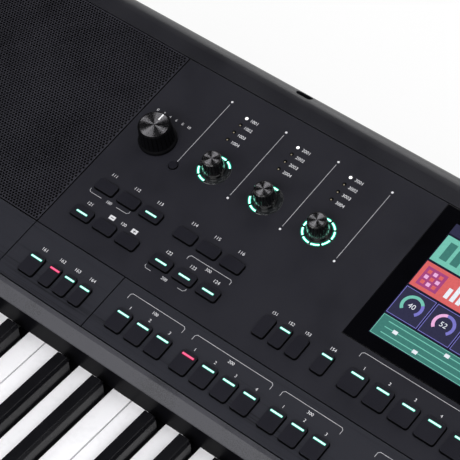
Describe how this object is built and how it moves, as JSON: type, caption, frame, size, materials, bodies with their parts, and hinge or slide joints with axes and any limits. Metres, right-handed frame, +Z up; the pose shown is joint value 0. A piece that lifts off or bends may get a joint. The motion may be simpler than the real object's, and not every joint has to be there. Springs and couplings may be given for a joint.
{
  "type": "arranger keyboard",
  "caption": "Arranger keyboard with hinged piano keys, sloping panel of push buttons and knobs, centre screen, loudspeaker grilles, thumb wheels and rear sockets.",
  "frame": {"origin": "on the table under the middle of the body", "axes": "+X to the player's right along the keys, +Y to the back, +Z up"},
  "size_m": [1.006, 0.3838, 0.1351],
  "materials": {
    "case": "fine-grained moulded plastic, matte",
    "frame": "fine-grained moulded plastic, satin",
    "panel": "charcoal, matte, with printed marks",
    "strip": "charcoal with fine lines brushed along it",
    "fascia": "polished black",
    "grille": "perforated sheet, black coat",
    "caps": "dark, matte",
    "knobs": "dark grip with a spun metal top",
    "glass": "polished black cover",
    "white_keys": "white, polished",
    "black_keys": "black, satin gloss",
    "steel": "zinc-plated sheet",
    "felt": "pressed wool felt",
    "rubber": "soft, matte",
    "boards": "green lacquered circuit board",
    "lights": "clear light guide",
    "cones": "pressed paper",
    "sockets": "black socket body",
    "shells": "nickel-plated sheet"
  },
  "bodies": {
    "body": {"bottom_case": "case", "left_end_block": "frame", "right_end_block": "frame", "front_rail": "frame", "panel_frame": "frame", "rear_cover": "frame", "control_panel": "panel", "jack_panel": "panel", "port_panel": "panel", "strip_inlays": "strip", "key_fascia": "fascia", "speaker_grilles": "grille", "screen_glass": "glass", "key_chassis": "steel", "key_pivot_rod": "steel", "speaker_baskets": "steel", "wheel_bracket": "steel", "key_stop_felt": "felt", "rubber_feet": "rubber", "contact_rubber": "rubber", "main_board": "boards", "switch_boards": "boards", "contact_board": "boards", "encoder_light_rings": "lights", "speaker_cones": "cones", "line_jacks": "sockets", "dc_inlet": "sockets", "rotary_controls": "sockets", "usb_ports": "shells", "lcd_module": "shells"},
    "c_keys": {"c_keys": "white_keys"},
    "d_keys": {"d_keys": "white_keys"},
    "e_keys": {"e_keys": "white_keys"},
    "f_keys": {"f_keys": "white_keys"},
    "g_keys": {"g_keys": "white_keys"},
    "a_keys": {"a_keys": "white_keys"},
    "b_keys": {"b_keys": "white_keys"},
    "c_sharp_keys": {"c_sharp_keys": "black_keys"},
    "d_sharp_keys": {"d_sharp_keys": "black_keys"},
    "f_sharp_keys": {"f_sharp_keys": "black_keys"},
    "g_sharp_keys": {"g_sharp_keys": "black_keys"},
    "a_sharp_keys": {"a_sharp_keys": "black_keys"},
    "setup_buttons": {"setup_buttons": "caps"},
    "tempo_buttons": {"tempo_buttons": "caps"},
    "record_buttons": {"record_buttons": "caps"},
    "chord_buttons": {"chord_buttons": "caps"},
    "intro_ending_buttons": {"intro_ending_buttons": "caps"},
    "main_buttons": {"main_buttons": "caps"},
    "transport_buttons": {"transport_buttons": "caps"},
    "memory_buttons": {"memory_buttons": "caps"},
    "voice_buttons": {"voice_buttons": "caps"},
    "pad_buttons": {"pad_buttons": "caps"},
    "power_button": {"power_button": "caps"},
    "volume_knob": {"volume_knob": "knobs"},
    "data_dial": {"data_dial": "knobs"},
    "encoder_knob_1": {"encoder_knob_1": "knobs"},
    "encoder_knob_2": {"encoder_knob_2": "knobs"},
    "encoder_knob_3": {"encoder_knob_3": "knobs"},
    "pitch_wheel": {"pitch_wheel": "knobs"},
    "mod_wheel": {"mod_wheel": "knobs"}
  },
  "joints": [
    {"name": "c_keys_press", "type": "hinge", "parent": "body", "child": "c_keys", "pos_m": [0.0136, 0.00612, 0.052], "axis": [1, 0, 0], "range_deg": [0, 3], "stiffness_Nm_per_rad": 2, "springref_deg": -22.92},
    {"name": "d_keys_press", "type": "hinge", "parent": "body", "child": "d_keys", "pos_m": [0.0136, 0.00612, 0.052], "axis": [1, 0, 0], "range_deg": [0, 3], "stiffness_Nm_per_rad": 2, "springref_deg": -22.92},
    {"name": "e_keys_press", "type": "hinge", "parent": "body", "child": "e_keys", "pos_m": [0.0136, 0.00612, 0.052], "axis": [1, 0, 0], "range_deg": [0, 3], "stiffness_Nm_per_rad": 2, "springref_deg": -22.92},
    {"name": "f_keys_press", "type": "hinge", "parent": "body", "child": "f_keys", "pos_m": [0.0136, 0.00612, 0.052], "axis": [1, 0, 0], "range_deg": [0, 3], "stiffness_Nm_per_rad": 2, "springref_deg": -22.92},
    {"name": "g_keys_press", "type": "hinge", "parent": "body", "child": "g_keys", "pos_m": [0.0136, 0.00612, 0.052], "axis": [1, 0, 0], "range_deg": [0, 3], "stiffness_Nm_per_rad": 2, "springref_deg": -22.92},
    {"name": "a_keys_press", "type": "hinge", "parent": "body", "child": "a_keys", "pos_m": [0.0136, 0.00612, 0.052], "axis": [1, 0, 0], "range_deg": [0, 3], "stiffness_Nm_per_rad": 2, "springref_deg": -22.92},
    {"name": "b_keys_press", "type": "hinge", "parent": "body", "child": "b_keys", "pos_m": [0.0136, 0.00612, 0.052], "axis": [1, 0, 0], "range_deg": [0, 3], "stiffness_Nm_per_rad": 2, "springref_deg": -22.92},
    {"name": "c_sharp_keys_press", "type": "hinge", "parent": "body", "child": "c_sharp_keys", "pos_m": [0.0136, 0.00612, 0.052], "axis": [1, 0, 0], "range_deg": [0, 3], "stiffness_Nm_per_rad": 2, "springref_deg": -22.92},
    {"name": "d_sharp_keys_press", "type": "hinge", "parent": "body", "child": "d_sharp_keys", "pos_m": [0.0136, 0.00612, 0.052], "axis": [1, 0, 0], "range_deg": [0, 3], "stiffness_Nm_per_rad": 2, "springref_deg": -22.92},
    {"name": "f_sharp_keys_press", "type": "hinge", "parent": "body", "child": "f_sharp_keys", "pos_m": [0.0136, 0.00612, 0.052], "axis": [1, 0, 0], "range_deg": [0, 3], "stiffness_Nm_per_rad": 2, "springref_deg": -22.92},
    {"name": "g_sharp_keys_press", "type": "hinge", "parent": "body", "child": "g_sharp_keys", "pos_m": [0.0136, 0.00612, 0.052], "axis": [1, 0, 0], "range_deg": [0, 3], "stiffness_Nm_per_rad": 2, "springref_deg": -22.92},
    {"name": "a_sharp_keys_press", "type": "hinge", "parent": "body", "child": "a_sharp_keys", "pos_m": [0.0136, 0.00612, 0.052], "axis": [1, 0, 0], "range_deg": [0, 3], "stiffness_Nm_per_rad": 2, "springref_deg": -22.92},
    {"name": "setup_buttons_press", "type": "slide", "parent": "body", "child": "setup_buttons", "axis": [0, 0.1822, -0.9833], "range_m": [0, 0.0012], "stiffness_N_per_m": 500, "springref_m": -0.003},
    {"name": "tempo_buttons_press", "type": "slide", "parent": "body", "child": "tempo_buttons", "axis": [0, 0.1822, -0.9833], "range_m": [0, 0.0012], "stiffness_N_per_m": 500, "springref_m": -0.003},
    {"name": "record_buttons_press", "type": "slide", "parent": "body", "child": "record_buttons", "axis": [0, 0.1822, -0.9833], "range_m": [0, 0.0012], "stiffness_N_per_m": 500, "springref_m": -0.003},
    {"name": "chord_buttons_press", "type": "slide", "parent": "body", "child": "chord_buttons", "axis": [0, 0.1822, -0.9833], "range_m": [0, 0.0012], "stiffness_N_per_m": 500, "springref_m": -0.003},
    {"name": "intro_ending_buttons_press", "type": "slide", "parent": "body", "child": "intro_ending_buttons", "axis": [0, 0.1822, -0.9833], "range_m": [0, 0.0012], "stiffness_N_per_m": 500, "springref_m": -0.003},
    {"name": "main_buttons_press", "type": "slide", "parent": "body", "child": "main_buttons", "axis": [0, 0.1822, -0.9833], "range_m": [0, 0.0012], "stiffness_N_per_m": 500, "springref_m": -0.003},
    {"name": "transport_buttons_press", "type": "slide", "parent": "body", "child": "transport_buttons", "axis": [0, 0.1822, -0.9833], "range_m": [0, 0.0012], "stiffness_N_per_m": 500, "springref_m": -0.003},
    {"name": "memory_buttons_press", "type": "slide", "parent": "body", "child": "memory_buttons", "axis": [0, 0.1822, -0.9833], "range_m": [0, 0.0012], "stiffness_N_per_m": 500, "springref_m": -0.003},
    {"name": "voice_buttons_press", "type": "slide", "parent": "body", "child": "voice_buttons", "axis": [0, 0.1822, -0.9833], "range_m": [0, 0.0012], "stiffness_N_per_m": 500, "springref_m": -0.003},
    {"name": "pad_buttons_press", "type": "slide", "parent": "body", "child": "pad_buttons", "axis": [0, 0.1822, -0.9833], "range_m": [0, 0.0012], "stiffness_N_per_m": 500, "springref_m": -0.003},
    {"name": "power_press", "type": "slide", "parent": "body", "child": "power_button", "axis": [0, -1, 0], "range_m": [0, 0.003], "stiffness_N_per_m": 400, "springref_m": -0.003},
    {"name": "volume_knob_turn", "type": "hinge", "parent": "body", "child": "volume_knob", "pos_m": [-0.2705, 0.10193, 0.11658], "axis": [0, -0.1822, 0.9833], "range_deg": [-150, 150]},
    {"name": "data_dial_turn", "type": "hinge", "parent": "body", "child": "data_dial", "pos_m": [0.2431, 0.10882, 0.11786], "axis": [0, -0.1822, 0.9833], "continuous": true},
    {"name": "encoder_knob_1_turn", "type": "hinge", "parent": "body", "child": "encoder_knob_1", "pos_m": [-0.22581, 0.104, 0.11697], "axis": [0, -0.1822, 0.9833], "continuous": true},
    {"name": "encoder_knob_2_turn", "type": "hinge", "parent": "body", "child": "encoder_knob_2", "pos_m": [-0.1844, 0.104, 0.11697], "axis": [0, -0.1822, 0.9833], "continuous": true},
    {"name": "encoder_knob_3_turn", "type": "hinge", "parent": "body", "child": "encoder_knob_3", "pos_m": [-0.143, 0.104, 0.11697], "axis": [0, -0.1822, 0.9833], "continuous": true},
    {"name": "pitch_wheel_turn", "type": "hinge", "parent": "body", "child": "pitch_wheel", "pos_m": [-0.4677, -0.10888, 0.054], "axis": [1, 0, 0], "range_deg": [-35, 35], "stiffness_Nm_per_rad": 0.06},
    {"name": "mod_wheel_turn", "type": "hinge", "parent": "body", "child": "mod_wheel", "pos_m": [-0.4377, -0.10888, 0.054], "axis": [1, 0, 0], "range_deg": [-75, 0]}
  ]
}
